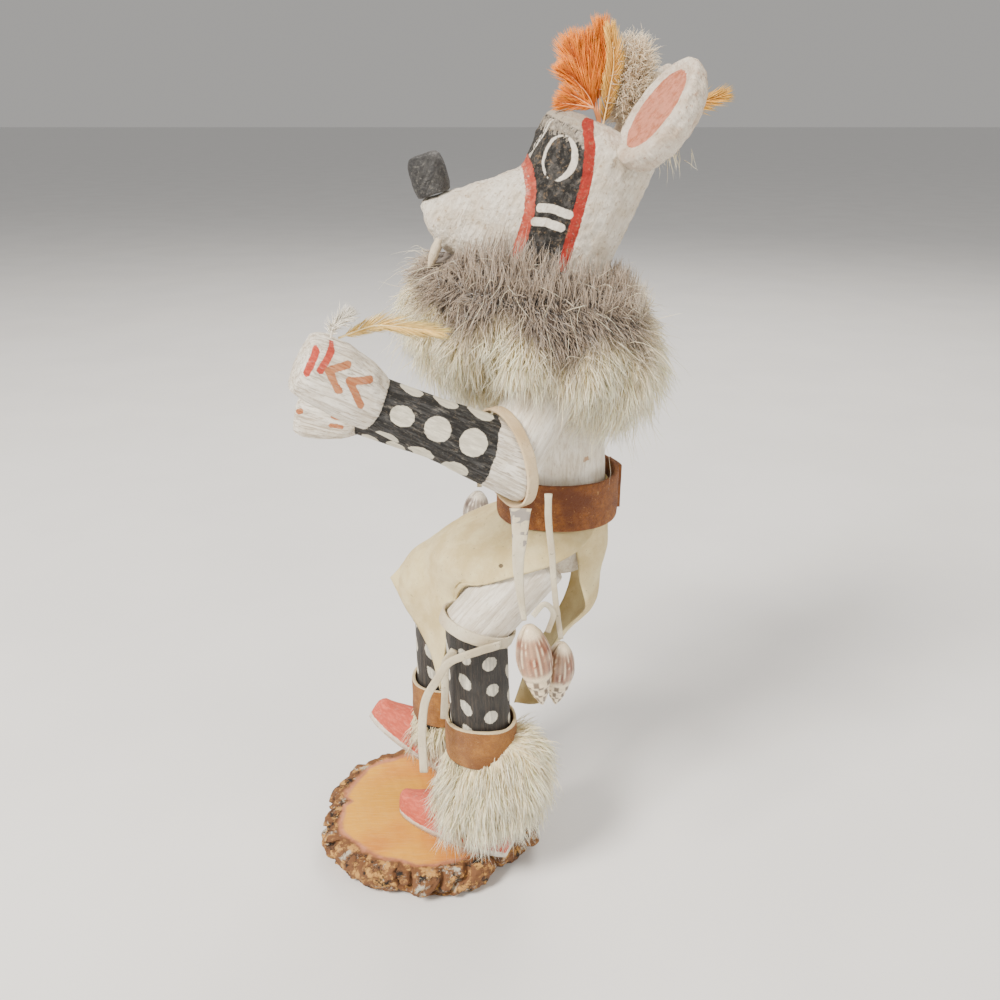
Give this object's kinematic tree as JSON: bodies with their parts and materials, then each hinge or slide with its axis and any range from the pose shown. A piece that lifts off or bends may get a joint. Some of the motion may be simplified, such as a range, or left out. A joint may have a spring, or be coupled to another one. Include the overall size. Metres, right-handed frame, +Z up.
{
  "type": "kachina doll",
  "caption": "Carved and painted dancer doll with an animal mask, mitred dowel limbs, leather kilt, fur ruff and anklets, on a round slice of log.",
  "frame": {"origin": "centre of the flat underside of the log slice, where the doll stands", "axes": "+Z up, the doll faces -X, and its left side is at -Y"},
  "size_m": [0.1483, 0.1192, 0.2926],
  "materials": {
    "log_wood": "sawn end grain with a rough bark rim",
    "white_paint": "matte chalky white paint over carved wood",
    "black_paint": "worn black paint over wood, with pale painted spots",
    "salmon_paint": "matte salmon paint",
    "suede": "brown suede",
    "chamois": "soft cream leather",
    "fur": "long cream fur",
    "grey_fur": "long grey and cream fur",
    "orange_feather": "dyed orange feather",
    "gold_feather": "golden tan feather",
    "pale_plume": "white plume",
    "shell": "glossy ribbed sea shell",
    "fang": "ivory coloured peg"
  },
  "bodies": {
    "root": {"log_slice_base": "log_wood", "left_foot": "salmon_paint", "left_shin": "black_paint", "right_foot": "salmon_paint", "right_shin": "black_paint", "torso": "white_paint", "head_mask": "white_paint", "left_thigh": "white_paint", "right_thigh": "white_paint", "nose_knob": "black_paint", "left_fang": "fang", "right_fang": "fang", "left_ear": "white_paint", "right_ear": "white_paint", "left_upper_arm": "white_paint", "left_forearm": "black_paint", "right_upper_arm": "white_paint", "right_forearm": "black_paint", "neck_ruff": "grey_fur", "left_fur_anklet": "fur", "right_fur_anklet": "fur", "belt": "suede", "belt_end": "suede", "left_shin_cuff": "suede", "right_shin_cuff": "suede", "front_flap": "chamois", "back_flap": "chamois", "left_elbow_band": "chamois", "left_knee_band": "chamois", "right_elbow_band": "chamois", "right_knee_band": "chamois", "left_elbow_strap": "chamois", "left_elbow_lace": "chamois", "right_elbow_lace": "chamois", "left_knee_lace_long": "chamois", "left_knee_lace_short": "chamois", "right_knee_lace": "chamois", "left_shell_large": "shell", "left_shell_small": "shell", "right_shell": "shell", "shell_loop": "chamois", "crest_fan_feather": "orange_feather", "crest_side_feather": "orange_feather", "rear_feather": "gold_feather", "crest_down": "grey_fur", "hand_feather": "gold_feather", "hand_plume": "pale_plume"}
  },
  "joints": []
}
